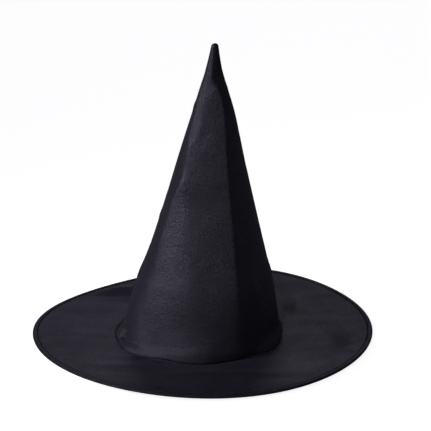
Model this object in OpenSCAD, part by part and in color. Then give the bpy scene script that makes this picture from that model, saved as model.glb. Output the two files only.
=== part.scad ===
// Pointed costume hat: a one-panel cloth cone sewn to a flat, hoop-stiffened brim.
// Frame: +Z up, origin on the resting plane at the brim's centre, back seam of the crown at +Y.
// All sizes are in millimetres.

/* [Hat] */
// Diameter of the brim over its edge binding
brim_d = 380; // [340:5:420]
// Height from the resting plane to the tip
hat_h = 340; // [280:5:400]
// Outside diameter of the crown where it is sewn to the brim
foot_d = 186; // [170:1:200]
// How far the crown leans towards +X, in degrees
lean = 3.2; // [0:0.2:4]
// Radius of the rounded tip
tip_r = 3; // [2.5:0.5:5]

/* [Cloth and stiffening] */
// Thickness of one ply of the shell cloth
cloth_t = 0.4; // [0.3:0.05:0.5]
// Thickness of the stiffener inside the brim
brim_core_t = 1.6; // [1.4:0.1:2.4]
// Thickness of the stiffener inside the crown
crown_core_t = 0.8; // [0.6:0.1:1]
// Height of the seam allowances that turn up inside the crown
allowance_h = 8; // [6:1:10]

/* [Brim edge] */
// Width of the binding on each face of the brim
binding_w = 6; // [5:0.5:9]
// Thickness of the folded binding tape
binding_t = 0.5; // [0.5:0.05:0.7]
// Diameter of the spring hoop
wire_d = 1; // [0.8:0.1:1.2]
// Length of the sleeve that joins the hoop's ends
sleeve_l = 16; // [12:1:20]

/* [Opening] */
// Height of the tape that covers the allowances, above the seam
sweatband_h = 13; // [11:1:16]
// Thickness of that tape
sweatband_t = 0.5; // [0.4:0.05:0.6]
// Width of the blank care label
label_w = 25; // [18:1:30]
// Height of the care label when folded
label_h = 32; // [24:1:40]

/* [Thread] */
// Diameter of the sewing thread
thread_d = 0.4; // [0.3:0.05:0.4]

/* [Hidden] */

$fn = 180;
THREAD_FN = 24;
CLOTH_COLOUR = [0.10, 0.10, 0.12];
BINDING_COLOUR = [0.06, 0.06, 0.08];
FLEECE_COLOUR = [0.22, 0.22, 0.24];
THREAD_COLOUR = [0.04, 0.04, 0.05];
STEEL_COLOUR = [0.55, 0.56, 0.58];
LABEL_COLOUR = [0.88, 0.88, 0.86];

// Heights of the brim's layers, from the resting plane up.
under_z = binding_t;
core_z = under_z + cloth_t;
top_z = core_z + brim_core_t;
seam_z = top_z + cloth_t;
edge_h = seam_z + binding_t;

// Radii at the brim's edge. The hoop lies loose between the cloths, past the stiffener's edge.
brim_r = brim_d / 2;
edge_round = 1.2;
edge_gap = 0.2;
cloth_r = brim_r - binding_t - edge_gap;
sleeve_d = brim_core_t;
sleeve_clearance = 0.06;
wire_r = cloth_r - edge_gap - sleeve_d / 2;
wire_z = core_z + brim_core_t / 2;
core_r = wire_r - sleeve_d / 2 - edge_gap / 2;
sleeve_deg = sleeve_l / wire_r * 180 / PI;
wire_gap_deg = 0.2;

// Each row of stitching sinks into a groove in the binding.
stitch_r = brim_r - binding_w + 1.4;
stitch_groove_w = thread_d + 0.1;
stitch_groove_h = min(thread_d, binding_t - 0.1);

// The crown is a straight cone about an axis that leans. Its foot is cut level with the brim.
foot_r = foot_d / 2;
crown_l = (hat_h - seam_z - tip_r) / cos(lean);
taper = atan((foot_r - tip_r) / crown_l);
foot_shift = foot_r * sin(lean) * tan(taper);
cone_below = 14;
slab_margin = 30;
solid_tip_l = 12;
stiff_tip_l = 28;

// Depths of the layers under the crown's outer face, measured level. The crown's own layers lean
// with it. The brim's allowances and the tape stand upright, so they start past lean_room.
lay_gap = 0.05;
ply_gap = 0.2;
lean_room = 0.8;
thread_room = thread_d + 0.4;
shell_d = cloth_t;
hem_d = 2 * cloth_t;
core_d = [shell_d + lay_gap, shell_d + lay_gap + crown_core_t];
top_ply_d = [hem_d + lean_room, hem_d + lean_room + cloth_t];
under_ply_d = [top_ply_d[1] + ply_gap, top_ply_d[1] + ply_gap + cloth_t];
sweatband_d = [under_ply_d[1] + thread_room, under_ply_d[1] + thread_room + sweatband_t];
tape_foot_z = under_z + 0.3;
core_foot_z = seam_z + sweatband_h + 1;
core_top_h = crown_l - stiff_tip_l;

// The crown's back seam is pressed open: a leg through the stiffener and two turned-in edges.
seam_leg_w = 2 * cloth_t;
seam_gap_w = seam_leg_w + 4 * thread_d;
seam_edge_w = 14;
seam_edge_d = [core_d[1] + lay_gap, core_d[1] + lay_gap + cloth_t];
seam_foot_h = core_foot_z - seam_z;

// The machine stitch that joins crown and brim, and the one that holds the tape, share a height.
stitch_z = seam_z + 1.2;

label_at_deg = 66;
label_t = 0.4;
label_stand_off = 2.2;
label_foot_z = seam_z + 2.4;

// Radius of the crown's outer face at height h along its axis.
function crown_r(h) = tip_r + (foot_r - tip_r) * (1 - h / crown_l);

// Radius of an upright face at a given depth: straight up to the seam, then in with the crown.
function upright_r(depth, z) = foot_r - depth - max(0, z - seam_z) * tan(taper);

module on_crown_axis() {
    translate([foot_shift, 0, seam_z]) rotate([0, lean, 0]) children();
}

// Full cone at a depth under the outer face, running past the foot so that it can be cut level.
module cone_at(depth, top_h) {
    rotate_extrude()
        polygon([
            [0, -cone_below],
            [crown_r(-cone_below) - depth, -cone_below],
            [crown_r(top_h) - depth, top_h],
            [0, top_h],
        ]);
}

module level_slab(z0, z1) {
    translate([0, 0, z0]) cylinder(r = foot_r + slab_margin, h = z1 - z0);
}

// Strip of the crown between two depths, from the seam up to height h, cut level.
module hem_strip(depths, h) {
    intersection() {
        level_slab(seam_z, seam_z + h);
        on_crown_axis() difference() {
            cone_at(depths[0], crown_l / 2);
            cone_at(depths[1], crown_l / 2 + 1);
        }
    }
}

module ring(r_in, r_out, z0, z1) {
    translate([0, 0, z0]) difference() {
        cylinder(r = r_out, h = z1 - z0);
        translate([0, 0, -1]) cylinder(r = r_in, h = z1 - z0 + 2);
    }
}

// Cross-section of an upright ply between two depths and two heights.
module upright_leg(depths, z0, z1) {
    polygon([
        for (at = [[0, z0], [0, seam_z], [0, z1], [1, z1], [1, seam_z], [1, z0]])
            [upright_r(depths[at[0]], at[1]), at[1]],
    ]);
}

// Cross-section of one of the brim's cloths: flat out to the edge, and turned up at the seam.
module brim_cloth_section(depths, flat_z, top_z) {
    upright_leg(depths, flat_z, top_z);
    translate([upright_r(depths[1], flat_z), flat_z])
        square([cloth_r - upright_r(depths[1], flat_z), cloth_t]);
}

module thread_ring(r, z) {
    color(THREAD_COLOUR)
        rotate_extrude() translate([r, z]) circle(d = thread_d, $fn = THREAD_FN);
}

// Strip along the crown's back, between two depths and |x| < w / 2, in the crown's own frame.
module back_strip(depths, w, h0, h1) {
    intersection() {
        difference() {
            cone_at(depths[0], h1);
            cone_at(depths[1], h1 + 1);
        }
        translate([-w / 2, 0, h0]) cube([w, foot_r + slab_margin, h1 - h0]);
    }
}

module crown_shell() {
    color(CLOTH_COLOUR) {
        intersection() {
            level_slab(seam_z, hat_h + 1);
            on_crown_axis() difference() {
                union() {
                    cone_at(0, crown_l);
                    translate([0, 0, crown_l]) sphere(r = tip_r, $fn = 48);
                }
                cone_at(shell_d, crown_l - solid_tip_l);
            }
        }
        hem_strip([shell_d / 2, hem_d], allowance_h);
        on_crown_axis() {
            back_strip([shell_d / 2, seam_edge_d[1]], seam_leg_w, seam_foot_h, core_top_h);
            back_strip(seam_edge_d, seam_edge_w, seam_foot_h, core_top_h);
        }
    }
}

module crown_interlining() {
    color(FLEECE_COLOUR) difference() {
        intersection() {
            level_slab(core_foot_z, hat_h);
            on_crown_axis() difference() {
                cone_at(core_d[0], core_top_h);
                cone_at(core_d[1], core_top_h + 1);
            }
        }
        on_crown_axis() translate([-seam_gap_w / 2, 0, 0])
            cube([seam_gap_w, foot_r + slab_margin, crown_l]);
    }
}

// Needle thread and bobbin thread, one on each side of the seam's leg.
module crown_back_seam_thread() {
    depth = (core_d[0] + core_d[1]) / 2;
    x_off = (seam_leg_w + thread_d) / 2 + 2 * lay_gap;
    low_h = seam_foot_h + 1;
    high_h = core_top_h - 1;
    run = (high_h - low_h) / cos(taper);
    color(THREAD_COLOUR) on_crown_axis()
        for (side = [-1, 1])
            translate([side * x_off, crown_r(low_h) - depth, low_h])
                rotate([taper, 0, 0]) cylinder(d = thread_d, h = run, $fn = THREAD_FN);
}

module brim_top_cloth() {
    color(CLOTH_COLOUR)
        rotate_extrude() brim_cloth_section(top_ply_d, top_z, seam_z + allowance_h - 1);
}

module brim_interlining() {
    color(FLEECE_COLOUR) ring(foot_r - top_ply_d[1], core_r, core_z, top_z);
}

module brim_under_cloth() {
    color(CLOTH_COLOUR)
        rotate_extrude() brim_cloth_section(under_ply_d, under_z, seam_z + allowance_h - 2);
}

module brim_hoop_wire() {
    color(STEEL_COLOUR) rotate([0, 0, 90 + wire_gap_deg / 2])
        rotate_extrude(angle = 360 - wire_gap_deg)
            translate([wire_r, wire_z]) circle(d = wire_d, $fn = THREAD_FN);
}

module hoop_joining_sleeve() {
    color(STEEL_COLOUR) rotate([0, 0, 90 - sleeve_deg / 2])
        rotate_extrude(angle = sleeve_deg)
            translate([wire_r, wire_z]) difference() {
                circle(d = sleeve_d, $fn = 2 * THREAD_FN);
                circle(d = wire_d + sleeve_clearance, $fn = THREAD_FN);
            }
}

// The binding's cross-section: a C open towards the crown, its outer corners rounded in short steps.
module binding_section() {
    corner = [for (a = [0:22.5:90]) [brim_r - edge_round * (1 - sin(a)), edge_round * (1 - cos(a))]];
    difference() {
        polygon([
            [brim_r - binding_w, 0],
            each corner,
            for (i = [len(corner) - 1:-1:0]) [corner[i][0], edge_h - corner[i][1]],
            [brim_r - binding_w, edge_h],
        ]);
        translate([brim_r - binding_w - 1, under_z])
            square([binding_w + 1 - binding_t, edge_h - 2 * binding_t]);
        for (z = [0, edge_h])
            translate([stitch_r, z])
                square([stitch_groove_w, 2 * stitch_groove_h], center = true);
    }
}

module edge_binding() {
    color(BINDING_COLOUR) rotate_extrude() binding_section();
}

// Rows of stitching on the two faces of the binding, sunk into it.
module edge_binding_thread() {
    thread_ring(stitch_r, thread_d / 2);
    thread_ring(stitch_r, edge_h - stitch_groove_h + thread_d / 2);
}

module crown_to_brim_seam_thread() {
    thread_ring(upright_r(under_ply_d[1] + thread_room / 2, stitch_z), stitch_z);
}

module sweatband_tape() {
    color(BINDING_COLOUR)
        rotate_extrude() upright_leg(sweatband_d, tape_foot_z, seam_z + sweatband_h);
}

module sweatband_thread() {
    thread_ring(upright_r(sweatband_d[1] + thread_d / 2 + ply_gap, stitch_z), stitch_z);
}

// Blank satin label, folded double, standing up inside the opening.
module care_label() {
    r = upright_r(sweatband_d[1] + label_stand_off, label_foot_z);
    color(LABEL_COLOUR) rotate([0, 0, label_at_deg])
        translate([r, 0, label_foot_z]) rotate([0, -taper - lean, 0])
            translate([-label_t, -label_w / 2, 0]) cube([label_t, label_w, label_h]);
}

crown_shell();
crown_interlining();
crown_back_seam_thread();
brim_top_cloth();
brim_interlining();
brim_under_cloth();
brim_hoop_wire();
hoop_joining_sleeve();
edge_binding();
edge_binding_thread();
crown_to_brim_seam_thread();
sweatband_tape();
sweatband_thread();
care_label();
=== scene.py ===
"""Looks of the pointed cloth hat: every CAD node is replaced by a detailed cloth, thread or wire piece.

Row frame, in metres: +Z up, the front of the hat faces -Y, the crown's back seam is at +Y.
An azimuth is measured in degrees from the front, positive towards +X.
"""

import math

import bpy
import numpy as np
from mathutils import Matrix, Vector, noise


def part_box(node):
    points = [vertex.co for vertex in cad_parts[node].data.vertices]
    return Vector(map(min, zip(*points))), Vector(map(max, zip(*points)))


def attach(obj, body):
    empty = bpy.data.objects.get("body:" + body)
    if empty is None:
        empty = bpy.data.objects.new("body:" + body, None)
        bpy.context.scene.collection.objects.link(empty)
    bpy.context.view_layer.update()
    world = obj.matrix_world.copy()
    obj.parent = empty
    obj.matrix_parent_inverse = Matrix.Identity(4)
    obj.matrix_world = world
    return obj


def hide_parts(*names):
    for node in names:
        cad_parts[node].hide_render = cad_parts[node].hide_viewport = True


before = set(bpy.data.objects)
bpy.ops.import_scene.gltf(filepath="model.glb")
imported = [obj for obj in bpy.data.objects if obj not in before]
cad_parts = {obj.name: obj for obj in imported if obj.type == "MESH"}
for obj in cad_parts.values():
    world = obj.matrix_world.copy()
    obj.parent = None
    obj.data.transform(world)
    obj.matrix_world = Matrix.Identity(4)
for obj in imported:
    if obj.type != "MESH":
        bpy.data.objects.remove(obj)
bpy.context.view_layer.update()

MM = 0.001

# ---- sizes, from the frame

BRIM_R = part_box("edge_binding")[1].x
EDGE_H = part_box("edge_binding")[1].z
core_low, core_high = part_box("brim_interlining")
CORE_R = core_high.x
CORE_Z = core_low.z
CORE_TOP_Z = core_high.z
CLOTH_T = 0.4 * MM
SEAM_Z = CORE_TOP_Z + CLOTH_T
UNDER_Z = CORE_Z - CLOTH_T
CLOTH_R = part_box("brim_top_cloth")[1].x
FOOT_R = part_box("crown_shell")[1].x
OPENING_R = 89.1 * MM
hoop_low, hoop_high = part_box("brim_hoop_wire")
WIRE_THICK_R = 0.5 * MM
WIRE_R = hoop_high.x - WIRE_THICK_R
WIRE_Z = (hoop_low.z + hoop_high.z) / 2
RIM_LIFT = 6.4 * MM  # how high the brim's rim stands on average
RIM_MID_Z = RIM_LIFT + EDGE_H / 2

# ---- camera

CAMERA_DISTANCE = 4.0
CAMERA_ELEVATION = math.radians(21.9)
CAMERA_ROLL = math.radians(-0.8)
LENS = 298.4
AIM_RIGHT = 14.4 * MM
AIM_UP = 128.6 * MM


def add_object(name, data):
    made = bpy.data.objects.new(name, data)
    bpy.context.scene.collection.objects.link(made)
    return made


def make_camera():
    """A camera placed and rolled as seen from the rim's middle, then turned up to the picture's middle."""
    middle = Vector((0, 0, RIM_MID_Z))
    right = Vector((1, 0, 0))
    back = Vector((0, -math.cos(CAMERA_ELEVATION), math.sin(CAMERA_ELEVATION)))
    up = back.cross(right)
    turned_right = right * math.cos(CAMERA_ROLL) + up * math.sin(CAMERA_ROLL)
    turned_up = up * math.cos(CAMERA_ROLL) - right * math.sin(CAMERA_ROLL)
    place = middle + back * CAMERA_DISTANCE
    aim = middle + turned_right * AIM_RIGHT + turned_up * AIM_UP
    z = (place - aim).normalized()
    x = turned_up.cross(z).normalized()
    data = bpy.data.cameras.new("camera")
    data.lens = LENS
    data.sensor_width = 36
    data.clip_end = 50
    camera = add_object("camera", data)
    camera.matrix_world = Matrix.Translation(place) @ Matrix((x, z.cross(x), z)).transposed().to_4x4()
    bpy.context.scene.camera = camera


make_camera()

# ---- curves and grids


def through(*points, period=None):
    """A smooth curve through (place, value) points, without overshoot, as a function of an array."""
    x, y = np.array(sorted(points), float).T
    if period:
        x = np.concatenate([x - period, x, x + period])
        y = np.concatenate([y, y, y])
    rise = np.diff(y) / np.diff(x)
    before = np.append(rise[0], rise)
    after = np.append(rise, rise[-1])
    same = before * after > 0
    slope = np.where(same, 2 * before * after / np.where(same, before + after, 1), 0)

    def value(at):
        at = np.asarray(at, float)
        i = np.clip(np.searchsorted(x, at) - 1, 0, len(x) - 2)
        run = x[i + 1] - x[i]
        t = np.clip((at - x[i]) / run, 0, 1)
        return (
            y[i] * (1 + 2 * t) * (1 - t) ** 2
            + y[i + 1] * t * t * (3 - 2 * t)
            + slope[i] * run * t * (1 - t) ** 2
            - slope[i + 1] * run * t * t * (1 - t)
        )

    return value


def ease(at, low, high):
    """0 below low, 1 above high, and smooth between them."""
    t = np.clip((np.asarray(at, float) - low) / (high - low), 0, 1)
    return t * t * (3 - 2 * t)


def bell(at, width):
    return np.exp(-((at / width) ** 2))


def wrapped(degrees):
    """The angle, between -180 and 180."""
    return (np.asarray(degrees) + 180) % 360 - 180


def around(radius, azimuth, z):
    """Points at a radius, an azimuth in degrees and a height."""
    turn = np.radians(azimuth)
    return stacked(radius * np.sin(turn), -radius * np.cos(turn), z)


def stacked(*values):
    """Arrays broadcast together and stacked along a last axis."""
    return np.stack(np.broadcast_arrays(*values), -1)


def length_along(path):
    """Distance from the start of a path to each of its points."""
    steps = np.linalg.norm(np.diff(path, axis=0), axis=1)
    return np.concatenate([[0], np.cumsum(steps)])


def normals_of(grid, closed):
    """Normals of a grid of points, [row, column, xyz], that point to the left of its rows and columns."""
    if closed:
        along = np.roll(grid, -1, 1) - np.roll(grid, 1, 1)
    else:
        along = np.gradient(grid, axis=1)
    up = np.gradient(grid, axis=0)
    n = np.cross(along, up)
    return n / np.maximum(np.linalg.norm(n, axis=-1, keepdims=True), 1e-12)


def grid_faces(rows, columns, closed, start=0, flip=False):
    i, j = np.meshgrid(np.arange(rows - 1), np.arange(columns if closed else columns - 1), indexing="ij")
    k = (j + 1) % columns
    quads = stacked(i * columns + j, i * columns + k, (i + 1) * columns + k, (i + 1) * columns + j)
    quads = quads.reshape(-1, 4) + start
    return quads[:, ::-1] if flip else quads


def make_mesh(name, points, faces, cut=None, smooth=True):
    """An object from points and faces. cut holds each point's place on the flat cloth, and its gloss."""
    mesh = bpy.data.meshes.new(name)
    mesh.from_pydata([tuple(p) for p in points], [], [tuple(int(v) for v in f) for f in faces])
    if cut is not None:
        attribute = mesh.attributes.new("cut", "FLOAT_VECTOR", "POINT")
        flat = np.zeros((len(points), 3), np.float32)
        flat[:, :2] = cut[:, :2]
        attribute.data.foreach_set("vector", flat.ravel())
        if cut.shape[1] > 2:
            gloss = mesh.attributes.new("gloss", "FLOAT", "POINT")
            gloss.data.foreach_set("value", cut[:, 2].astype(np.float32))
    if smooth:
        mesh.polygons.foreach_set("use_smooth", [True] * len(mesh.polygons))
    mesh.validate()
    return add_object(name, mesh)


def sheet_shell(outer, inner, closed, cut, tip=False):
    """Points, faces and cuts of a thin sheet: two grids with a rim round its edges, or closed at a tip."""
    rows, columns = outer.shape[:2]
    count = rows * columns
    points = np.concatenate([outer.reshape(-1, 3), inner.reshape(-1, 3)])
    cuts = np.concatenate([cut.reshape(-1, cut.shape[-1])] * 2)
    faces = [*grid_faces(rows, columns, closed), *grid_faces(rows, columns, closed, count, True)]
    edges = [list(range(columns))]
    last = [(rows - 1) * columns + j for j in range(columns)]
    if tip:
        points = np.concatenate([points, [outer[-1].mean(0), inner[-1].mean(0)]])
        cuts = np.concatenate([cuts, [cut[-1].mean(0)] * 2])
        for a, b in zip(last, last[1:] + last[:1]):
            faces += [(a, b, 2 * count), (b + count, a + count, 2 * count + 1)]
    else:
        edges.append(last[::-1])
    for ids in edges:
        pairs = zip(ids, ids[1:] + ids[:1] if closed else ids[1:])
        faces += [(b, a, a + count, b + count) for a, b in pairs]
    if not closed:
        for j, turned in ((0, False), (columns - 1, True)):
            ids = [i * columns + j for i in range(rows)]
            for a, b in zip(ids, ids[1:]):
                faces.append((b, a, a + count, b + count) if turned else (a, b, b + count, a + count))
    return points, faces, cuts


# ---- the brim's wavy level

# Waves round the rim: how many, and their height in mm as cosine and sine.
RIM_WAVES = ((2, 0.3, 3.5), (3, -1.1, -1.2), (4, 0.4, -0.7))
seam_wander = through(  # azimuth, and how far the seam seems to shift outwards there, in mm
    (-150, 1.5), (-120, -1.5), (-90, 0.4), (-72, 5), (-58, 12), (-48, 9), (-38, 3), (-27, -1.2),
    (-12, 3.5), (2, 4.9), (15, 1.5), (28, -0.5), (39, -4), (47, 0.8), (55, 6), (66, 4), (84, -4.5),
    (105, -0.5), (140, -1.5),
    period=360,
)
SEAM_SAG = 2.0
SEAM_WAVE_REACH = 26 * MM
SHIFT_OUT = 0.45  # share of the seam's apparent shift that is a wider seam
SHIFT_DOWN = 0.22  # share that is a lower seam
BRIM_MARKS = (  # each x, y, spread in x, spread in y, height, all in mm
    (-58, -79, 26, 7, 1.2), (-60, -92, 30, 6, -0.4), (-50, -91, 14, 4, 1.0), (-98, 138, 34, 7, 2.6),
    (-94, 120, 36, 6, -1.8), (-131, -8, 34, 24, 0.8), (-98, -32, 18, 30, -1.6),
    (-128, 58, 26, 16, -1.6), (98, 60, 7, 24, -2.6), (112, 62, 10, 24, 1.6), (153, -52, 10, 30, -2.4),
    (164, -64, 10, 8, 1.8), (135, -58, 11, 28, 1.6), (128, 20, 22, 16, 1.4), (35, -124, 60, 7, 0.9),
    (56, -138, 44, 6, -0.7), (-40, -130, 50, 6, 0.8), (-92, -108, 36, 8, 1.3), (-70, -128, 40, 7, -0.8),
    (140, 96, 26, 12, 1.8), (-50, 104, 60, 24, -3.0), (70, 108, 56, 24, -3.2),
)


def seam_radius(azimuth):
    """Radius of the seam about its own middle."""
    return FOOT_R + SHIFT_OUT * MM * seam_wander(azimuth)


def marks_at(marks, across, up, start=0, turn=False):
    """Adds soft marks (place, spreads, strength) to start. With turn, across is an azimuth."""
    for at, height, wide, tall, strength in marks:
        off = wrapped(across - at) if turn else across - at
        start = start + strength * bell(off, wide) * bell(up - height, tall)
    return start


def brim_level(x, y):
    """Height that the waves of the hoop and of the seam add to every layer of the brim."""
    r = np.hypot(x, y)
    turn = np.arctan2(y, x)
    z = np.full(np.shape(r), RIM_LIFT)
    for k, along, across in RIM_WAVES:
        z = z + (r / BRIM_R) ** k * (along * np.cos(k * turn) + across * np.sin(k * turn)) * MM
    azimuth = np.degrees(np.arctan2(x, -y))
    near = np.exp(-np.maximum(r - FOOT_R, 0) / SEAM_WAVE_REACH) * ease(r, 0, 0.5 * FOOT_R)
    facing = 0.3 + 0.7 * np.cos(np.radians(azimuth)) ** 2
    sag = SEAM_SAG + facing * SHIFT_DOWN * seam_wander(azimuth)
    free = ease(r, FOOT_R + 2 * MM, FOOT_R + 14 * MM) * ease(BRIM_R - r, 6 * MM, 22 * MM)
    return z - near * sag * MM + free * marks_at(BRIM_MARKS, x / MM, y / MM) * MM


def levelled(points):
    """The points, carried up or down with the brim."""
    points = np.array(points, float)
    points[..., 2] += brim_level(points[..., 0], points[..., 1])
    return points


# ---- the crown's shape
# Heights in mm above the middle of the rim, azimuths in degrees, lengths in mm.

FOOT_SHIFT_X = -3.0
HALF_WIDTH = through(
    (0, 86.3), (14, 84), (66, 74.8), (87, 67.6), (143, 52.2), (192, 39.6), (247, 26), (283, 15.8),
    (306, 9.1), (322, 5.9), (334, 3.8),
)
CENTRE_X = through(
    (0, -1.8), (14, -1), (66, 3.4), (115, 7.1), (164, 9.8), (220, 12.7), (261, 15.1), (306, 16.2),
    (336, 17.7),
)
DEPTH = through(  # front to back, as a share of the width
    (0, 1), (20, 1.01), (66, 1.08), (87, 1.12), (115, 1.145), (143, 1.15), (192, 1.1), (250, 1.05),
    (334, 1),
)
SHARPNESS = through((0, 0.35), (30, 0.62), (70, 0.92), (100, 1), (260, 1), (300, 0.75), (340, 0.4))
CORNERS = (  # a corner's azimuth by height, its turn in degrees, and how wide it is by height
    (
        ((20, 27), (60, 26), (224, 26), (262, 28), (278, 26), (290, 4), (298, -30), (334, -34)),
        50,
        ((20, 5), (50, 2.6), (290, 2.8), (306, 6)),
    ),
    (
        (
            (20, -12), (66, -17), (133, -30), (192, -42), (222, -45), (242, -35), (270, -36), (300, -60),
            (330, -66),
        ),
        20,
        ((0, 12), (150, 8), (220, 5), (300, 8)),
    ),
    (
        (
            (0, -68), (30, -67), (60, -62), (126, -63), (160, -59), (194, -45), (222, -47), (242, -61),
            (270, -62), (300, -86), (330, -92),
        ),
        36,
        (
            (0, 6), (40, 8), (62, 18), (100, 12), (135, 4), (180, 4), (206, 13), (228, 8), (300, 8),
        ),
    ),
    (((0, -106), (340, -106)), 48, ((0, 26), (340, 26))),
    (((0, 96), (340, 96)), 56, ((0, 32), (340, 32))),
    (((0, 176), (340, 176)), 56, ((0, 32), (340, 32))),
)
DENTS = (  # each azimuth, height, spread in azimuth, spread in height, how far out
    (-62, 221, 9, 6, -1.5), (-55, 198, 7, 4, -1.1), (-75, 11, 4, 13, -2.4), (-85, 6, 6, 7, 2.4),
    (-47, 238, 14, 12, 0.7), (-52, 262, 12, 9, 0.6), (-20, 238, 12, 6, -0.35), (-12, 284, 26, 7, 0.5),
    (12, 302, 30, 7, -0.8), (-88, 139, 9, 6, 1.0), (-86, 265, 12, 5, 0.8), (-70, 136, 10, 8, -1.0),
    (-36, 118, 6, 26, 0.5), (46, 64, 7, 16, 1.1), (57, 55, 5, 12, -0.9), (36, 58, 5, 12, -0.6),
    (66, 28, 12, 14, 1.0), (-56, 5, 4, 3.5, 1.0), (-40, 5, 7, 3.5, -0.9), (-24, 7, 5, 4, 0.8),
    (-10, 14, 24, 10, 0.8), (-74, 40, 10, 22, 0.8), (130, 90, 16, 30, -2.4), (150, 190, 20, 24, -1.6),
    (-140, 120, 18, 26, -2.6), (-120, 230, 20, 18, -1.2), (165, 50, 12, 22, 1.4),
    (-160, 40, 14, 20, -1.6), (115, 30, 12, 10, -1.8),
)
FLARE_H = through(  # how high the foot's flare reaches, by azimuth
    (-180, 12), (-104, 11), (-84, 9), (-72, 6), (-58, 8), (-46, 10), (-34, 11), (-20, 13), (0, 18),
    (26, 8), (38, 5), (46, 9), (60, 12), (90, 10), (130, 11),
    period=360,
)
FLARE_FULL = through(  # how far out the wall is above the flare, by azimuth
    (-180, 91), (-105, 88.5), (-90, 88), (-78, 88.3), (-68, 90), (-58, 93), (-46, 94.2), (-38, 93.6),
    (-30, 92.6), (-22, 92.3), (-12, 93.8), (2, 94.5), (15, 93.3), (28, 92.3), (39, 90.5), (50, 89),
    (65, 88.5), (90, 88.5), (125, 90),
    period=360,
)
GLOSS_MARKS = (  # azimuth, height, spread in azimuth, spread in height, how much glossier
    (36, 61, 4, 9, 0.35), (48, 73, 5, 10, 0.4), (56, 53, 5, 10, 0.35), (44, 120, 9, 14, 0.2),
    (60, 170, 9, 22, 0.2), (-46, 140, 10, 34, 0.25), (-52, 240, 8, 8, -0.35), (8, 56, 20, 26, -0.7),
    (-48, 222, 8, 5, -0.9), (-47, 209, 8, 6, -1.3), (-10, 222, 22, 8, -0.2), (-62, 90, 9, 30, -0.25),
    (-20, 40, 12, 12, 0.15),
)
TIP_ROUND_Z = 332.5
TIP_ROUND_H = 3.4
TIP_STEPS = (20, 38, 54, 68, 79)  # degrees up the rounded tip
SEAM_DIP = 1.1
SEAM_GROOVE = 1.6
SEAM_GROOVE_REACH = 1.1 * MM
SLANT = 349 * MM  # the cone's side, unrolled
FAN = 93 * MM / SLANT  # the angle of the unrolled cone, as a share of a full turn
FRONT_COLUMN = 120  # a column of the crown near its front


def crown_azimuths():
    """Columns of the crown, from the back seam round to it again, closer together at the seam."""
    even = np.linspace(-180, 180, 241)[1:-1]
    fold = np.array([0, 0.4, 0.85])
    return np.concatenate([fold - 180, even, 180 - fold[:0:-1]])


def crown_heights():
    """Rows of the crown in mm above its foot, closer together at the foot."""
    low = [0, 0.7, 1.5, 2.4, 3.4, 4.5, 5.7, 6.9, 8.1, 9.3, 10.5]
    high = [11.8, 13.1, 14.6, 16.2, 18, 20, 22]
    return np.concatenate([low, high, np.linspace(24, TIP_ROUND_Z, 150)])


def centred(values):
    """Each row of values, moved to have its lowest and its highest equally far from 0."""
    return values - (values.max(1, keepdims=True) + values.min(1, keepdims=True)) / 2


def facet_section(azimuth, z):
    """The crown's faceted cross-section at each height, as x and y, from -1 to 1 in x."""
    a = np.broadcast_to(azimuth, (len(z), len(azimuth)))
    heading = a * (1 - sum(corner[1] for corner in CORNERS) / 360)
    for places, turn, widths in CORNERS:
        off = a - through(*places)(z)[:, None]
        width = through(*widths)(z)[:, None]
        for lap in (-360, 0, 360):
            heading = heading + turn * 0.5 * np.tanh(1.6 * (off + lap) / width)
    lean = np.radians(a - heading) * SHARPNESS(z)[:, None]
    step = np.radians(np.gradient(azimuth))
    level = np.zeros((len(z), 1))
    for _ in range(12):  # until each ring closes on itself
        miss = (np.tan(lean - level) * step).sum(1, keepdims=True)
        level += miss / ((1 / np.cos(lean - level) ** 2) * step).sum(1, keepdims=True)
    slope = np.tan(lean - level) * step
    r = np.exp(np.cumsum(slope, 1) - slope / 2)
    x = centred(r * np.sin(np.radians(a)))
    y = centred(-r * np.cos(np.radians(a)))
    half = x.max(1, keepdims=True)
    return x / half, y / half


def noise_at(points, size, seed):
    """Smooth noise from -1 to 1 at each point, with lumps of a size, or of one size for each axis."""
    at = points / np.asarray(size) + seed * 17.3
    return np.array([noise.noise(p) for p in at.reshape(-1, 3).tolist()]).reshape(points.shape[:-1])


def creases_at(points, size, seed):
    """Noise with narrow ridges, as in cloth that was folded and crushed."""
    return 1 - 2 * np.abs(noise_at(points, size, seed))


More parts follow.
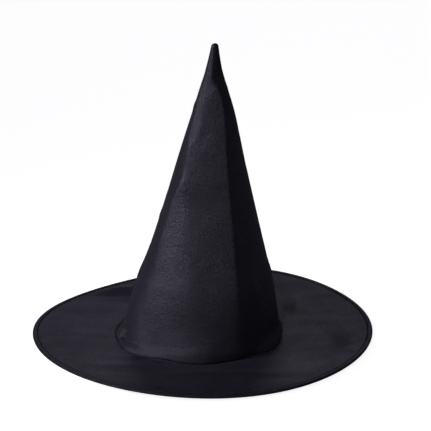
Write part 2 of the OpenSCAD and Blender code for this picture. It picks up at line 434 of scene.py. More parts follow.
def crown_surface():
    """The crown's outer face as a grid of points in metres, foot to tip, and those points' cuts."""
    azimuth = crown_azimuths()
    z = crown_heights()
    a = np.broadcast_to(azimuth, (len(z), len(azimuth)))
    h = np.broadcast_to(z[:, None], a.shape)
    sx, sy = facet_section(azimuth, z)
    x = CENTRE_X(h) + HALF_WIDTH(h) * sx
    y = HALF_WIDTH(h) * DEPTH(h) * sy
    flare = FLARE_H(a)
    out = 0.05 * np.log1p(np.exp((1 - h / flare) / 0.05))
    full = FLARE_FULL(a) / HALF_WIDTH(0)
    low = 1 - ease(h, 8, 72)
    x = x * (1 + low * (full - 1))
    y = y * (1 + low * (full - 1))
    foot = around(seam_radius(a) / MM, a, 0)
    x = x + out * (foot[..., 0] + FOOT_SHIFT_X - x)
    y = y + out * (foot[..., 1] - y)
    grid = stacked(x, y, h)
    out = normals_of(grid, True)
    push = marks_at(DENTS, a, h, start=-1.1 * bell(h, 0.9), turn=True)
    free = ease(h, 1, 14) * (1 - 0.8 * ease(h, 290, 330))
    push = push + free * 0.32 * noise_at(grid, (26, 26, 34), seed=1)
    push = push + free * 0.12 * creases_at(grid, (14, 14, 20), seed=2)
    push = push + free * 0.08 * noise_at(grid, (7, 7, 9), seed=3)
    seam = bell(180 - np.abs(a), 0.7)
    pucker = bell(180 - np.abs(a), 5) * np.sin(h / 1.35 + 2 * noise_at(grid, 20, seed=4))
    push = push - 0.5 * seam + 0.14 * free * pucker
    grid = grid + out * push[..., None]
    cap = []
    top = grid[-1]
    middle = top.mean(0)
    for turn in np.radians(TIP_STEPS):
        ring = middle + (top - middle) * math.cos(turn)
        ring[:, 2] = top[:, 2] + TIP_ROUND_H * math.sin(turn)
        cap.append(ring)
    grid = np.concatenate([grid, np.array(cap)]) * MM
    foot_z = SEAM_Z - SEAM_DIP * MM
    settle = 1 - ease(grid[..., 2], 0, 0.05)
    level = brim_level(grid[..., 0], grid[..., 1])
    grid[..., 2] += RIM_MID_Z + settle * (foot_z + level - RIM_MID_Z)
    slant = FOOT_R / FAN - length_along(grid[:, FRONT_COLUMN])
    fan = np.radians(azimuth) * FAN
    gloss = 0.6 * ease(h, 0, 115) - 0.6 - 0.4 * ease(h, 180, 290)
    gloss = marks_at(GLOSS_MARKS, a, h, start=gloss, turn=True)
    gloss = np.concatenate([gloss, gloss[-len(TIP_STEPS) :]])
    cut = stacked(slant[:, None] * np.sin(fan), slant[:, None] * np.cos(fan), gloss)
    return grid, cut


crown, crown_cut = crown_surface()
crown_out = normals_of(crown, True)
CROWN_AZIMUTH = crown_azimuths()
CROWN_Z = np.concatenate([crown_heights(), TIP_ROUND_Z + 1 + np.arange(len(TIP_STEPS))])


def under_crown(depth, rows=slice(None), columns=slice(None)):
    """The crown's face moved inwards by a depth in mm."""
    return crown[rows, columns] - crown_out[rows, columns] * depth * MM


def crown_rows(low, high):
    """Rows of the crown between two heights in mm above its foot."""
    i = np.flatnonzero((CROWN_Z >= low) & (CROWN_Z <= high))
    return slice(i[0], i[-1] + 1)


# ---- materials


class Nodes:
    """The nodes of a new material or world, with short calls to add and join them."""

    def __init__(self, owner, shader="Principled BSDF"):
        owner.use_nodes = True
        self.tree = owner.node_tree
        self.shader = self.tree.nodes[shader]

    def add(self, kind, inputs=(), **settings):
        node = self.tree.nodes.new("ShaderNode" + kind)
        for key, value in settings.items():
            setattr(node, key, value)
        for key, value in dict(inputs).items():
            self.join(value, node.inputs[key])
        return node

    def join(self, value, socket):
        if isinstance(value, bpy.types.NodeSocket):
            self.tree.links.new(value, socket)
        else:
            socket.default_value = value

    def maths(self, operation, *values):
        node = self.add("Math", operation=operation)
        for value, socket in zip(values, node.inputs):
            self.join(value, socket)
        return node.outputs[0]

    def between(self, value, low, high, to_low=0.0, to_high=1.0):
        ranges = {"Value": value, "From Min": low, "From Max": high, "To Min": to_low, "To Max": to_high}
        return self.add("MapRange", ranges).outputs["Result"]

    def mixed(self, factor, a, b):
        node = self.add("Mix", data_type="RGBA")
        self.join(factor, node.inputs[0])
        self.join(a, node.inputs[6])
        self.join(b, node.inputs[7])
        return node.outputs[2]

    def cut(self, stretch=(1, 1, 1)):
        """The place on the flat cloth, in metres, stretched."""
        vector = self.add("Attribute", attribute_name="cut").outputs["Vector"]
        return self.add("Mapping", {"Vector": vector, "Scale": stretch}).outputs["Vector"]

    def place(self):
        """The place in space, in metres."""
        return self.add("TexCoord").outputs["Object"]

    def lumps(self, vector, size, detail=3.0, roughness=0.55):
        """Noise from 0 to 1 with lumps of that size in metres."""
        noise_inputs = {"Vector": vector, "Scale": 1 / size, "Detail": detail, "Roughness": roughness}
        return self.add("TexNoise", noise_inputs).outputs["Fac"]

    def lines(self, vector, pitch, axis, wander=0.0):
        """Ridges from 0 to 1, a pitch in metres apart along an axis."""
        scale = math.tau / 20 / pitch
        wave_inputs = {"Vector": vector, "Scale": scale, "Distortion": wander, "Detail": 1.0}
        return self.add("TexWave", wave_inputs, bands_direction=axis).outputs["Fac"]

    def bump(self, height, distance, strength, under=None):
        inputs = {"Height": height, "Distance": distance, "Strength": strength}
        if under is not None:
            inputs["Normal"] = under
        return self.add("Bump", inputs).outputs["Normal"]

    def surface(self, **values):
        for key, value in values.items():
            self.join(value, self.shader.inputs[key.replace("_", " ")])


def weave(m, flat, warp, weft):
    """Height of a plain weave with those thread pitches."""
    across = m.lines(flat, warp, "X")
    along = m.lines(flat, weft, "Y")
    squares = m.add("Mapping", {"Vector": flat, "Scale": (1 / warp, 1 / weft, 1)}).outputs[0]
    over = m.add("TexChecker", {"Vector": squares, "Scale": 1.0}).outputs["Fac"]
    return m.add("Mix", {0: over, 2: across, 3: along}, data_type="FLOAT").outputs[0]


def satin_cloth(name, streak, tint, crumple):
    """Black satin-faced cloth. streak stretches its long soft marks, crumple deepens its small lumps."""
    material = bpy.data.materials.new(name)
    m = Nodes(material)
    flat = m.cut()
    threads = weave(m, flat, 0.00042, 0.00036)
    slubs = m.lumps(m.cut((1, 12, 1)), 0.0016, 1.0)
    slubs_across = m.lumps(m.cut((12, 1, 1)), 0.0019, 1.0)
    patches = m.lumps(flat, 0.030, 4.0, 0.6)
    streaks = m.lumps(m.cut(streak), 0.012, 3.0, 0.5)
    crushed = m.lumps(flat, 0.0030, 4.0, 0.62)
    rubbed = m.maths("MULTIPLY", m.between(patches, 0.3, 0.7, 0.4, 1.6), m.between(crushed, 0.38, 0.66))
    colour = m.mixed(rubbed, (0.0030, 0.0027, 0.0046, 1), (0.0190, 0.0176, 0.0240, 1))
    colour = m.mixed(m.between(streaks, 0.50, 0.80, 0.0, 0.5), colour, (0.0120, 0.0118, 0.0160, 1))
    dust = m.lumps(m.place(), 0.0007, 1.0)
    colour = m.mixed(m.between(dust, 0.70, 0.78, 0.0, 0.4), colour, (0.030, 0.030, 0.036, 1))
    grain = m.lumps(flat, 0.0016, 3.0, 0.7)
    colour = m.mixed(m.between(grain, 0.47, 0.66, 0.0, 0.5), colour, (0.042, 0.038, 0.054, 1))
    gloss = m.add("Attribute", attribute_name="gloss").outputs["Fac"]
    gloss = m.maths("MULTIPLY", gloss, m.between(crushed, 0.35, 0.65, 0.6, 1.4))
    rough = m.between(patches, 0.3, 0.7, 0.47, 0.37)
    rough = m.maths("ADD", rough, m.between(crushed, 0.35, 0.68, 0.06, -0.06))
    rough = m.maths("ADD", rough, m.between(grain, 0.40, 0.66, -0.04, 0.04))
    rough = m.maths("MAXIMUM", m.maths("MULTIPLY_ADD", gloss, -0.22, rough), 0.33)
    normal = m.bump(threads, 0.00012, 0.35)
    normal = m.bump(m.maths("ADD", slubs, slubs_across), 0.00010, 0.5, normal)
    normal = m.bump(crushed, crumple, 0.5, normal)
    normal = m.bump(patches, crumple * 2, 0.5, normal)
    normal = m.bump(streaks, crumple, 0.2, normal)
    m.surface(Base_Color=colour, Roughness=rough, Normal=normal)
    m.surface(Specular_IOR_Level=0.42, Specular_Tint=tint)
    m.surface(Sheen_Weight=0.05, Sheen_Roughness=0.45, Sheen_Tint=(0.75, 0.76, 1, 1))
    return material


def ribbed_tape(name, colour_low, colour_high, pitch=0.0009):
    """Woven tape with painted shade along its stitched edges, nearly black there, for the shadow where the
    tape meets the cloth. Its cut runs along it in x and across it in y.
    """
    material = bpy.data.materials.new(name)
    m = Nodes(material)
    flat = m.cut()
    ribs = m.lines(flat, pitch, "X", 0.4)
    threads = m.lines(flat, 0.00035, "Y", 0.3)
    patches = m.lumps(flat, 0.012, 3.0)
    colour = m.mixed(m.between(patches, 0.35, 0.7), colour_low, colour_high)
    colour = m.mixed(m.maths("MULTIPLY", ribs, 0.4), colour, colour_high)
    # pressed is painted shade, not a pressed finish. Within about 2 mm of each stitched edge the colour
    # goes nearly black and the roughness high, for the shadow in the groove where the tape meets the cloth.
    # This holds on the binding and the sweatband alike.
    from_edge = m.maths("PINGPONG", m.add("SeparateXYZ", {"Vector": flat}).outputs["Y"], TAPE_WIDTH / 2)
    pressed = m.between(from_edge, 0.0017, 0.0024, 1.0, 0.0)
    # The painted shade's colour, nearly black.
    colour = m.mixed(pressed, colour, (0.001, 0.001, 0.0016, 1))
    rough = m.between(patches, 0.3, 0.7, 0.52, 0.40)
    rough = m.maths("MAXIMUM", rough, m.maths("MULTIPLY", pressed, 0.95))
    normal = m.bump(ribs, 0.00016, 0.5)
    normal = m.bump(threads, 0.00006, 0.4, normal)
    m.surface(Base_Color=colour, Roughness=rough, Normal=normal)
    m.surface(Specular_IOR_Level=0.38, Specular_Tint=(0.80, 0.79, 1, 1))
    return material


def fleece(name):
    """Bonded non-woven stiffener: matted short fibres with pressed bonding dots."""
    material = bpy.data.materials.new(name)
    m = Nodes(material)
    flat = m.place()
    fibres = m.lumps(flat, 0.0006, 5.0, 0.75)
    tufts = m.lumps(flat, 0.006, 4.0, 0.65)
    dots = m.add("TexVoronoi", {"Vector": flat, "Scale": 1 / 0.0028, "Randomness": 0.25})
    pressed = m.between(dots.outputs["Distance"], 0.18, 0.34)
    colour = m.mixed(m.between(tufts, 0.3, 0.7), (0.026, 0.026, 0.029, 1), (0.060, 0.060, 0.065, 1))
    colour = m.mixed(m.between(fibres, 0.58, 0.72, 0.0, 0.6), colour, (0.12, 0.12, 0.13, 1))
    normal = m.bump(pressed, 0.0003, 0.6)
    normal = m.bump(fibres, 0.0004, 0.7, normal)
    m.surface(Base_Color=colour, Roughness=m.between(pressed, 0, 1, 0.75, 0.95), Normal=normal)
    m.surface(Specular_IOR_Level=0.2, Sheen_Weight=0.3, Sheen_Roughness=0.6)
    return material


def sewing_thread(name, low, high):
    """Twisted polyester thread. Its cut runs along the thread in x and round it in y."""
    material = bpy.data.materials.new(name)
    m = Nodes(material)
    twist = m.lines(m.cut((1, 0.45, 1)), 0.0007, "DIAGONAL")
    lint = m.lumps(m.place(), 0.003, 3.0)
    colour = m.mixed(m.between(lint, 0.35, 0.7), low, high)
    m.surface(Base_Color=colour, Roughness=m.between(lint, 0.3, 0.7, 0.55, 0.42))
    m.surface(Normal=m.bump(twist, 0.0001, 0.8), Specular_IOR_Level=0.4, Sheen_Weight=0.2)
    return material


def dull_steel(name):
    material = bpy.data.materials.new(name)
    m = Nodes(material)
    drawn = m.lumps(m.cut((0.05, 1, 1)), 0.0004, 2.0)
    stains = m.lumps(m.place(), 0.008, 4.0)
    colour = m.mixed(m.between(stains, 0.45, 0.7), (0.46, 0.46, 0.47, 1), (0.30, 0.29, 0.28, 1))
    m.surface(Base_Color=colour, Metallic=1.0, Roughness=m.between(stains, 0.3, 0.7, 0.28, 0.5))
    m.surface(Normal=m.bump(drawn, 0.00003, 0.6))
    return material


def label_satin(name):
    """White satin ribbon with woven edges, a little yellowed and creased."""
    material = bpy.data.materials.new(name)
    m = Nodes(material)
    flat = m.cut()
    threads = m.lines(flat, 0.0004, "Y", 0.2)
    warp = m.lines(flat, 0.00028, "X", 0.2)
    soil = m.lumps(flat, 0.009, 4.0)
    colour = m.mixed(m.between(soil, 0.4, 0.75), (0.80, 0.80, 0.78, 1), (0.66, 0.65, 0.61, 1))
    across = m.add("SeparateXYZ", {"Vector": flat}).outputs["X"]
    edge = m.between(m.maths("ABSOLUTE", across), 0.0108, 0.0116)
    colour = m.mixed(m.maths("MULTIPLY", edge, 0.35), colour, (0.50, 0.50, 0.49, 1))
    normal = m.bump(m.maths("ADD", threads, warp), 0.00006, 0.5)
    normal = m.bump(soil, 0.0012, 0.3, normal)
    m.surface(Base_Color=colour, Roughness=m.between(soil, 0.3, 0.7, 0.36, 0.5), Normal=normal)
    m.surface(Sheen_Weight=0.2, Specular_IOR_Level=0.5)
    return material


CROWN_CLOTH = satin_cloth("crown_satin", (1.6, 0.35, 1), (0.93, 0.92, 1, 1), 0.0009)
BRIM_CLOTH = satin_cloth("brim_satin", (0.35, 1.3, 1), (0.80, 0.79, 1, 1), 0.0006)
TAPE_WIDTH = 15.2 * MM
TAPE = ribbed_tape("binding_tape", (0.010, 0.0092, 0.0140, 1), (0.026, 0.0240, 0.034, 1))
BAND_TAPE = ribbed_tape("sweatband_tape", (0.008, 0.008, 0.010, 1), (0.022, 0.022, 0.026, 1), 0.0014)
FLEECE = fleece("bonded_fleece")
THREAD = sewing_thread("black_thread", (0.006, 0.006, 0.008, 1), (0.022, 0.022, 0.027, 1))
STEEL = dull_steel("spring_steel")
LABEL = label_satin("label_satin")


def finish_piece(made, material, slot, *nodes):
    """Gives a piece its material and its place in the frame."""
    made.data.materials.append(material)
    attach(made, "root")
    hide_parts(*nodes)


# ---- tubes and stitches


class Tubes:
    """Collects round tubes as one mesh."""

    def __init__(self):
        self.points = []
        self.faces = []
        self.cuts = []
        self.count = 0

    def add(self, path, radius, sides):
        """A tube with closed ends round a path of points."""
        path = np.asarray(path, float)
        along = np.gradient(path, axis=0)
        along /= np.linalg.norm(along, axis=1, keepdims=True)
        level = np.array([0, 0, 1.0]) if abs(along[:, 2]).max() < 0.9 else np.array([0, 1.0, 0])
        side = np.cross(along, level)
        side /= np.linalg.norm(side, axis=1, keepdims=True)
        up = np.cross(side, along)
        turn = np.arange(sides) * math.tau / sides
        ring = side[:, None] * np.cos(turn)[:, None] + up[:, None] * np.sin(turn)[:, None]
        grid = path[:, None] + ring * radius
        flat = stacked(length_along(path)[:, None], (turn * radius)[None])
        last = self.count + (len(path) - 1) * sides
        self.points.append(grid.reshape(-1, 3))
        self.cuts.append(flat.reshape(-1, 2))
        self.faces.extend(grid_faces(len(path), sides, True, self.count, True))
        self.faces.append([self.count + j for j in range(sides)])
        self.faces.append([last + j for j in reversed(range(sides))])
        self.count += len(path) * sides

    def made(self, name):
        return make_mesh(name, np.concatenate(self.points), self.faces, np.concatenate(self.cuts))


STITCH_GAP = 0.16  # share of each stitch's length that is left between it and the next
STITCH_SIDES = 6


def stitch_row(tubes, path, out, radius):
    """Stitches between the points of a path, bowed outwards and dipping into the cloth at their ends."""
    dip = STITCH_GAP / 2
    rise = dip + 0.05
    bows = ((dip, -0.9), (rise, 0.15), (0.35, 0.55), (0.65, 0.55), (1 - rise, 0.15), (1 - dip, -0.9))
    for start, end, away in zip(path, path[1:], out):
        stitch = [start + (end - start) * t + away * radius * bow for t, bow in bows]
        tubes.add(stitch, radius, STITCH_SIDES)


def sew(name, node, *rows):
    """One piece of stitches in rows, each row a path, its outward directions and its thread's radius."""
    tubes = Tubes()
    for path, out, radius in rows:
        stitch_row(tubes, path, out, radius)
    finish_piece(tubes.made(name), THREAD, "thread", node)


def joined_shells(name, shells):
    """One object from several (points, faces, cuts)."""
    points, faces, cuts, count = [], [], [], 0
    for shell_points, shell_faces, shell_cuts in shells:
        points.append(shell_points)
        cuts.append(np.pad(shell_cuts, ((0, 0), (0, 3 - shell_cuts.shape[1]))))
        faces += [[v + count for v in face] for face in shell_faces]
        count += len(shell_points)
    return make_mesh(name, np.concatenate(points), faces, np.concatenate(cuts))


# ---- crown pieces
# Depths in mm, of a layer's faces inside the crown's outer face.

CLOTH_DEPTH = 0.4
HEM_DEPTHS = (0.42, 0.8)
STIFFENER_DEPTHS = (0.5, 1.2)
STITCH_DEPTH = 0.86
PRESSED_DEPTHS = (1.32, 1.7)
PRESSED_WIDTH = 7  # of each pressed-open edge of the back seam
PRESSED_GAP = 0.15
BACK_GAP = 1.3  # from the back seam to each edge of the stiffener
BACK_STITCH = 2.9
STIFFENER_FOOT = 14
STIFFENER_TOP = 308
ALLOWANCE = 8  # height of the foot seam's turned-up edges
THREAD_R = 0.19 * MM


def at_azimuth(grid, azimuth):
    """Points of a crown grid at other azimuths, [rows, columns] in degrees."""
    known = np.concatenate([CROWN_AZIMUTH, [CROWN_AZIMUTH[0] + 360]])
    ring = np.concatenate([grid, grid[:, :1]], 1)
    out = np.empty((*azimuth.shape, 3))
    for i, places in enumerate(azimuth):
        for k in range(3):
            out[i, :, k] = np.interp(places, known, ring[i, :, k])
    return out


def wall_radius(rows):
    """Mean radius of the crown at each of those rows, in mm."""
    ring = crown[rows]
    return np.hypot(*(ring - ring.mean(1, keepdims=True))[..., :2].transpose(2, 0, 1)).mean(1) / MM


def back_strip(left, right):
    """A strip along the back seam inside the crown, between two distances from it in mm, as a shell."""
    rows = crown_rows(STIFFENER_FOOT, STIFFENER_TOP)
    across = np.linspace(left, right, 7)
    turn = np.degrees(across[None, :] / wall_radius(rows)[:, None])
    azimuth = np.where(turn > 0, 180 - turn, -180 - turn)
    inner, outer = [at_azimuth(under_crown(depth, rows), azimuth) for depth in PRESSED_DEPTHS]
    up = np.broadcast_to(CROWN_Z[rows, None], azimuth.shape)
    cut = stacked(across[None, :], up) * MM
    return sheet_shell(outer, inner, False, cut)


def make_crown_shell():
    wall = sheet_shell(crown, under_crown(CLOTH_DEPTH), True, crown_cut, tip=True)
    rows = crown_rows(0, ALLOWANCE)
    outer, inner = [under_crown(depth, rows) for depth in HEM_DEPTHS]
    hem = sheet_shell(outer, inner, True, crown_cut[rows])
    left = back_strip(-PRESSED_WIDTH, -PRESSED_GAP)
    right = back_strip(PRESSED_GAP, PRESSED_WIDTH)
    made = joined_shells("crown_panel", [wall, hem, left, right])
    finish_piece(made, CROWN_CLOTH, "shell_cloth", "crown_shell")


def make_crown_interlining():
    rows = crown_rows(STIFFENER_FOOT, STIFFENER_TOP)
    gap = np.degrees(BACK_GAP / wall_radius(rows))[:, None]
    azimuth = -180 + gap + (360 - 2 * gap) * np.linspace(0, 1, 181)
    outer, inner = [at_azimuth(under_crown(depth, rows), azimuth) for depth in STIFFENER_DEPTHS]
    up = np.broadcast_to(CROWN_Z[rows, None] * MM, azimuth.shape)
    cut = stacked(np.radians(azimuth) * FOOT_R, up)
    made = make_mesh("crown_stiffener", *sheet_shell(outer, inner, False, cut))
    finish_piece(made, FLEECE, "fleece", "crown_interlining")


def make_back_seam_thread():
    rows = crown_rows(STIFFENER_FOOT, STIFFENER_TOP)
    spine = under_crown(STITCH_DEPTH, rows, 0)
    length = length_along(spine)
    marks = np.arange(1, length[-1] / MM - 1, BACK_STITCH) * MM
    path = np.stack([np.interp(marks, length, spine[:, k]) for k in range(3)], -1)
    sides = [np.tile([side, 0, 0], (len(path), 1)) for side in (-1, 1)]
    beside = [(path + away * 0.62 * MM, away, THREAD_R) for away in sides]
    sew("back_seam_stitches", "crown_back_seam_thread", *beside)


# ---- brim pieces

BRIM_AZIMUTH = np.linspace(-180, 180, 480, endpoint=False)
FOOT_CENTRE = np.array([FOOT_SHIFT_X * MM, 0, 0])
RUCK_REACH = 9 * MM
BRIM_GLOSS = (  # x, y, spread in x, spread in y, how much glossier
    (0, 150, 170, 50, -0.75), (0, -130, 120, 36, 0.45), (-150, 20, 50, 60, -0.3),
    (-80, 112, 50, 26, -0.7), (-126, -6, 26, 18, 0.3), (-146, -40, 30, 10, -0.4),
    (-98, 140, 34, 6, 0.7), (98, 60, 7, 22, -0.5), (112, 64, 9, 20, 0.2), (156, -52, 10, 30, -0.9),
    (165, -64, 10, 8, 0.35), (120, 0, 24, 30, 0.15), (36, -122, 60, 5, 0.4), (-50, -118, 36, 6, 0.25),
    (-96, -98, 24, 7, 0.3), (60, -146, 50, 8, 0.25), (-56, -84, 16, 5, 0.6), (-100, -104, 26, 5, 0.4),
    (20, -112, 40, 5, 0.35), (-140, 60, 26, 16, -0.25), (-128, -52, 30, 9, -0.2),
)


def brim_cut(grid):
    """Where each point of the brim lies on the flat cloth, and how glossy the cloth is there."""
    x, y = grid[..., 0] / MM, grid[..., 1] / MM
    return stacked(grid[..., 0], grid[..., 1], marks_at(BRIM_GLOSS, x, y))


def brim_puff(x, y):
    """How far the top cloth stands off the stiffener, in metres."""
    at = stacked(x, y, 0) / MM
    puff = 0.35 * noise_at(at, (50, 18, 30), seed=5)
    puff = puff + 0.12 * creases_at(at, (40, 20, 20), seed=6)
    puff = puff + 0.3 * noise_at(at, 34, seed=7)
    puff = puff + 0.05 * noise_at(at, (12, 9, 9), seed=14)
    r = np.hypot(x - FOOT_CENTRE[0], y)
    pinned = ease(r, FOOT_R + 1 * MM, FOOT_R + 12 * MM)
    pinned = pinned * ease(BRIM_R - np.hypot(x, y), 5 * MM, 20 * MM)
    ripple = noise_at(around(9, np.degrees(np.arctan2(x, -y)), 0), 1, seed=8)
    ruck = 0.05 + 0.25 * np.exp((FOOT_R - r) / RUCK_REACH) * np.maximum(0.4 + ripple, 0)
    return (pinned * np.maximum(0.55 + puff, 0) + ruck) * MM


TOP_CLOTH_DEPTHS = (1.6, 2.0)  # of each lining inside the crown's wall: its outer and inner faces, in mm
UNDER_CLOTH_DEPTHS = (2.2, 2.6)
BAND_DEPTHS = (3.4, 3.9)


def lining_radius(height):
    """The widest radius at which a lining clears the crown's wall, at a height in mm above the seam."""
    rows = crown_rows(0, 24)
    up = (crown[rows, :, 2] - crown[:1, :, 2]) / MM
    r = np.hypot(crown[rows, :, 0] - FOOT_CENTRE[0], crown[rows, :, 1])
    close = np.abs(up - height) < 1.5
    r = np.where(close, r, 1).min(0)
    r = np.min([np.roll(r, k) for k in range(-4, 5)], 0)
    return np.mean([np.roll(r, k) for k in range(-2, 3)], 0)


def lining_ring(depth, height, azimuth=BRIM_AZIMUTH):
    """A ring of points inside the crown's wall, at a depth and a height above the seam in mm."""
    known = np.concatenate([CROWN_AZIMUTH, [180]])
    r = lining_radius(max(height, 0))
    r = np.interp(azimuth, known, np.append(r, r[0])) - depth * MM
    ring = around(r, azimuth, 0) + FOOT_CENTRE
    ring[:, 2] = SEAM_Z + height * MM + brim_level(ring[:, 0], ring[:, 1])
    return ring


def brim_face(r_rim, seam_depth, z, across):
    """A face of the brim from the rim (across 0) to the seam (across 1), at a height, then levelled."""
    rim = around(r_rim, BRIM_AZIMUTH, 0)
    seam = lining_ring(seam_depth, 0)
    grid = rim + (seam - rim) * np.asarray(across)[:, None, None]
    grid[..., 2] = z
    return levelled(grid)


def seam_dip(grid):
    """Makes the brim dip into the seam under the crown's foot."""
    r = np.hypot(grid[..., 0] - FOOT_CENTRE[0], grid[..., 1])
    past = r - seam_radius(np.degrees(np.arctan2(grid[..., 0] - FOOT_CENTRE[0], -grid[..., 1])))
    grid[..., 2] -= SEAM_GROOVE * MM * np.exp(-np.maximum(past, 0) / SEAM_GROOVE_REACH)
    return grid


def brim_across(count):
    """Steps from rim to seam, closer together at the seam."""
    near_seam = [0.92, 0.94, 0.955, 0.966, 0.974, 0.981, 0.988, 0.994, 1]
    return np.concatenate([np.linspace(0, 0.9, count), near_seam])


def make_brim_top_cloth():
    outside, inside = TOP_CLOTH_DEPTHS
    top = brim_face(CLOTH_R, outside, SEAM_Z, brim_across(44))
    top[..., 2] += brim_puff(top[..., 0], top[..., 1])
    top = seam_dip(top)
    low = top.copy()
    low[..., 2] -= CLOTH_T
    low[-1] += (lining_ring(inside, 0) - lining_ring(outside, 0)) * [1, 1, 0]
    up = [1, 2, 3, 4.5, 6, ALLOWANCE - 1]
    top = np.concatenate([top, [lining_ring(outside, h) for h in up]])
    low = np.concatenate([low, [lining_ring(inside, h) for h in up]])
    made = make_mesh("brim_upper_ring", *sheet_shell(top, low, True, brim_cut(top)))
    finish_piece(made, BRIM_CLOTH, "shell_cloth", "brim_top_cloth")


def make_brim_interlining():
    across = brim_across(30)
    depth = TOP_CLOTH_DEPTHS[1]
    top = brim_face(CORE_R, depth, CORE_TOP_Z, across)
    low = brim_face(CORE_R, depth, CORE_Z, across)
    made = make_mesh("brim_stiffener", *sheet_shell(seam_dip(top), seam_dip(low), True, top[..., :2]))
    finish_piece(made, FLEECE, "fleece", "brim_interlining")


def make_brim_under_cloth():
    outside, inside = UNDER_CLOTH_DEPTHS
    across = brim_across(44)[::-1]
    low = brim_face(CLOTH_R, inside, UNDER_Z, across)
    at = stacked(low[..., 0], low[..., 1], 0.2) / MM
    pinned = ease(across, 0.02, 0.12) * ease(-across, -0.98, -0.88)
    sag = np.clip(0.22 + 0.4 * noise_at(at, (60, 24, 30), seed=9), 0.05, 0.45) * MM
    low[..., 2] -= pinned[:, None] * sag
    low = seam_dip(low)
    top = low.copy()
    top[..., 2] += CLOTH_T
    top[0] += (lining_ring(outside, 0) - lining_ring(inside, 0)) * [1, 1, 0]
    up = [ALLOWANCE - 2, 4.5, 3, 1.5, 0, -1]
    low = np.concatenate([[lining_ring(inside, h) for h in up], low])
    top = np.concatenate([[lining_ring(outside, h) for h in up], top])
    made = make_mesh("brim_lower_ring", *sheet_shell(low, top, True, low[..., :2]))
    finish_piece(made, BRIM_CLOTH, "shell_cloth", "brim_under_cloth")


def make_hoop():
    tubes = Tubes()
    gap = 0.1
    azimuth = np.linspace(gap - 180, 180 - gap, 721)
    tubes.add(levelled(around(WIRE_R, azimuth, WIRE_Z)), WIRE_THICK_R, 12)
    finish_piece(tubes.made("hoop_wire"), STEEL, "spring_steel", "brim_hoop_wire")


def make_hoop_sleeve():
    half = math.degrees(0.008 / WIRE_R)
    azimuth = 180 + np.linspace(-half, half, 49)
    path = levelled(around(WIRE_R, azimuth, WIRE_Z))
    along = np.linspace(-8, 8, 49)
    crimps = sum(bell(along - place, 0.8) for place in (-5.4, -2.4, 2.4, 5.4))
    rolled = ease(np.abs(along), 7.4, 8)
    turn = np.linspace(0, math.tau, 24, endpoint=False)
    side = around(1, azimuth, 0)[:, None]
    ring = side * np.cos(turn)[:, None] + np.array([0, 0, 1.0]) * np.sin(turn)[:, None]
    outer = path[:, None] + ring * (0.8 - 0.16 * crimps - 0.06 * rolled)[:, None, None] * MM
    inner = path[:, None] + ring * (0.56 - 0.03 * crimps)[:, None, None] * MM
    cut = stacked(along[:, None], turn * 0.8) * MM
    made = make_mesh("hoop_sleeve", *sheet_shell(outer, inner, True, cut))
    finish_piece(made, STEEL, "spring_steel", "hoop_joining_sleeve")


# ---- brim edge

STITCH_COUNT = 388
STITCH_R = BRIM_R - 4.6 * MM
EDGE_STITCH_Z = 0.14 * MM
LAP_AZIMUTH = 168  # where the tape's ends lap
LAP_HALF = 4.2


def binding_profile():
    """The binding's outer face in mm, as distance in from the edge and height, from under to top."""
    edge = EDGE_H / MM
    under = [(6, 0.12), (5.5, 0.02), (5.1, 0.08), (4.6, 0.42), (4.1, 0.08), (3.6, 0), (2.6, 0), (1.5, 0.03)]
    turn = [(0.75, 0.2), (0.25, 0.62), (0.04, 1.15)]
    low = under + turn
    high = [(x, edge - z) for x, z in reversed(low)]
    return np.array([*low, (0, edge / 2), *high])


def make_edge_binding():
    azimuth = np.linspace(-180, 180, 4 * STITCH_COUNT, endpoint=False)
    profile = binding_profile()
    edge = EDGE_H / MM
    inward = profile[:, 0][:, None]
    z = profile[:, 1][:, None]
    face = np.sign(z - edge / 2)
    between = 0.5 - 0.5 * np.cos(np.radians(azimuth) * STITCH_COUNT)
    puffed = bell(inward - 2.9, 1.3) + 0.7 * bell(inward - 5.5, 0.5)
    at = around(30, azimuth, 0)
    slack = noise_at(at, 1.1, seed=11)
    z = z + face * 0.10 * puffed * (between - 0.4)
    z = z + face * 0.09 * bell(inward - 2.8, 2.2) * slack[None]
    uneven = 0.22 * noise_at(at, 0.9, seed=12) + 0.10 * (between - 0.5)
    inward = inward + ease(inward, 4.9, 6) * uneven[None]
    lap = ease(-np.abs(wrapped(azimuth - LAP_AZIMUTH)), -LAP_HALF, 0.35 - LAP_HALF)
    z = z + face * 0.34 * lap * ease(inward, 0, 1.4)
    inward = inward - 0.25 * lap * ease(-inward, -1.2, 0)
    outer = around(BRIM_R - inward * MM, azimuth[None], z * MM)
    thick = stacked(inward + 0.5 * ease(-inward, -1.6, 0), z - 0.5 * face * ease(inward, 0.0, 1.0))
    inner = around(BRIM_R - thick[..., 0] * MM, azimuth[None], thick[..., 1] * MM)
    run = length_along(profile) * MM
    cut = stacked(np.radians(azimuth)[None] * BRIM_R, run[:, None])
    made = make_mesh("edge_tape", *sheet_shell(levelled(outer), levelled(inner), True, cut))
    finish_piece(made, TAPE, "binding_tape", "edge_binding")


def make_edge_stitches():
    azimuth = np.linspace(-180, 180, STITCH_COUNT + 1)
    rows = []
    for z, way in ((EDGE_STITCH_Z, -1), (EDGE_H - EDGE_STITCH_Z, 1)):
        path = levelled(around(STITCH_R, azimuth, z))
        rows.append((path, np.tile([0, 0, way], (len(path), 1)), 0.2 * MM))
    sew("edge_stitches", "edge_binding_thread", *rows)


# ---- inside the opening


def make_seam_stitches(name, depth, node):
    """A row of lock stitches round the inside of the seam."""
    azimuth = np.linspace(-180, 180, 188)
    path = lining_ring(depth, 1.2, azimuth)
    sew(name, node, (path, around(-1, azimuth, 0), THREAD_R))


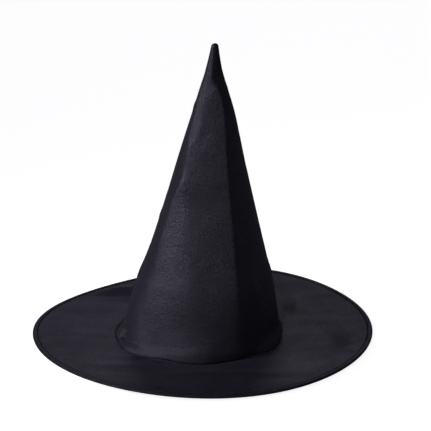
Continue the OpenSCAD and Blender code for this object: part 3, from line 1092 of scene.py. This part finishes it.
def make_sweatband():
    heights = [13, 12.4, 11, 9.5, 8, 6.5, 5, 3.6, 2.4, 1.6, 1.2, 0.8, 0, -0.9, -1.7, -2.1]
    back, face = [np.array([lining_ring(depth, h) for h in heights]) for depth in BAND_DEPTHS]
    h = np.array(heights)[:, None]
    inward = around(-1, BRIM_AZIMUTH, 0)[None]
    ripple = noise_at(around(16, BRIM_AZIMUTH, 0), 1, seed=13)[None] * ease(h, 1.2, 12) * 0.5
    pull = 0.14 * bell(h - 1.2, 0.7)
    shift = inward * ((ripple - pull)[..., None] * MM)
    run = stacked(np.radians(BRIM_AZIMUTH)[None] * OPENING_R, h * MM)
    made = make_mesh("sweatband", *sheet_shell(face + shift, back + shift, True, run))
    finish_piece(made, BAND_TAPE, "binding_tape", "sweatband_tape")


LABEL_AZIMUTH = 156
LABEL_W = 25 * MM
LABEL_DEPTH = 5.6  # of its root inside the crown's wall
LABEL_BEND = 16  # height above which it stands straight


def make_label():
    """A satin ribbon folded double, its two ends caught at the foot and its fold standing free."""
    near, bend, far = np.linspace(0, 30.5, 16), np.linspace(31.2, 33.6, 9), np.linspace(34.5, 65, 16)
    length = np.concatenate([near, bend, far])
    fold = (length - 32.4) / 1.5
    up = np.where(length < 32.4, length, 64.8 - length)
    up = np.where(np.abs(fold) < 1, 30.9 + 0.95 * np.cos(fold * math.pi / 2), up)
    apart = 0.5 * ease(up, 2, 28) + 0.12
    out = np.where(np.abs(fold) < 1, np.sin(fold * math.pi / 2) * apart, np.sign(fold) * apart)
    out = out + 1.6 * ease(up, 4, 34)
    across = np.linspace(-0.5, 0.5, 15)
    azimuth = LABEL_AZIMUTH - np.degrees(across * LABEL_W / OPENING_R)
    rise = lining_ring(LABEL_DEPTH, 21, azimuth) - lining_ring(LABEL_DEPTH, 15, azimuth)
    rise /= np.linalg.norm(rise, axis=1, keepdims=True)
    inward = around(-1, azimuth, 0)
    spine = [
        lining_ring(LABEL_DEPTH, 2.4 + min(h, LABEL_BEND), azimuth) + rise * max(h - LABEL_BEND, 0) * MM
        for h in up
    ]
    curl = 0.9 * (across * 2) ** 2 * ease(up, 0, 30)[:, None]
    curl = curl + 0.25 * np.sin(across * 9 + up[:, None] / 6)
    grid = np.array(spine) + inward * ((out[:, None] + curl)[..., None] * MM)
    away = normals_of(grid, False) * 0.07 * MM
    cut = stacked(across[None] * LABEL_W, length[:, None] * MM)
    made = make_mesh("blank_label", *sheet_shell(grid + away, grid - away, False, cut))
    finish_piece(made, LABEL, "label_satin", "care_label")


make_crown_shell()
make_crown_interlining()
make_back_seam_thread()
make_brim_top_cloth()
make_brim_interlining()
make_brim_under_cloth()
make_hoop()
make_hoop_sleeve()
make_edge_binding()
make_edge_stitches()
make_seam_stitches("seam_stitches", 3.0, "crown_to_brim_seam_thread")
make_seam_stitches("sweatband_stitches", 3.98, "sweatband_thread")
make_sweatband()
make_label()

# ---- floor and light

FLOOR_GLOW = 0.9
FLOOR_R = 6


def make_floor():
    """A plain pale disc, seen only from above."""
    points = around(FLOOR_R, np.linspace(0, 360, 96, endpoint=False), 0)
    floor = make_mesh("floor", points, [list(range(len(points)))], smooth=False)
    floor.location.z = -0.2 * MM
    material = bpy.data.materials.new("floor")
    m = Nodes(material)
    lit = m.add("BsdfDiffuse", {"Color": (0.9, 0.9, 0.9, 1)})
    glow = m.add("Emission", {"Color": (1, 1, 1, 1), "Strength": FLOOR_GLOW})
    both = m.add("AddShader", {0: lit.outputs[0], 1: glow.outputs[0]})
    clear = m.add("BsdfTransparent")
    under = m.add("NewGeometry").outputs["Backfacing"]
    seen = m.add("MixShader", {0: under, 1: both.outputs[0], 2: clear.outputs[0]})
    m.join(seen.outputs[0], m.tree.nodes["Material Output"].inputs["Surface"])
    floor.data.materials.append(material)
    floor.visible_glossy = False
    floor.visible_diffuse = False


LIGHT_COLOUR = (0.87, 0.87, 1)
LIGHT_AIM = Vector((0, 0, 0.16))


def soft_light(name, azimuth, elevation, distance, width, height, power, spread=180):
    """A softbox aimed at the hat, with a grid that narrows its spread. Metres and degrees."""
    turn, rise = math.radians(azimuth), math.radians(elevation)
    way = Vector((math.sin(turn) * math.cos(rise), -math.cos(turn) * math.cos(rise), math.sin(rise)))
    data = bpy.data.lights.new(name, "AREA")
    data.shape = "RECTANGLE"
    data.size = width
    data.size_y = height
    data.energy = power
    data.spread = math.radians(spread)
    data.color = LIGHT_COLOUR
    light = add_object(name, data)
    light.location = LIGHT_AIM + way * distance
    light.rotation_euler = way.to_track_quat("Z", "Y").to_euler()


def make_world(strength):
    """Dim even light, seen as white behind the hat."""
    world = bpy.data.worlds.new("studio")
    bpy.context.scene.world = world
    w = Nodes(world, "Background")
    seen = w.add("LightPath").outputs["Is Camera Ray"]
    tint = w.mixed(seen, (0.88, 0.83, 1, 1), (1, 1, 1, 1))
    w.surface(Strength=w.between(seen, 0, 1, strength, 1), Color=tint)


make_floor()
make_world(0.058)
soft_light("key", -76, 25, 1.8, 0.5, 0.5, 0.82, 30)
soft_light("front_fill", -14, 28, 2.4, 0.9, 0.6, 0.45, 34)
soft_light("back", 178, 22, 3.6, 1.1, 0.6, 3.5)
soft_light("right_fill", 80, 45, 2.0, 0.6, 0.6, 0.2)
bpy.context.scene.view_settings.view_transform = "Standard"
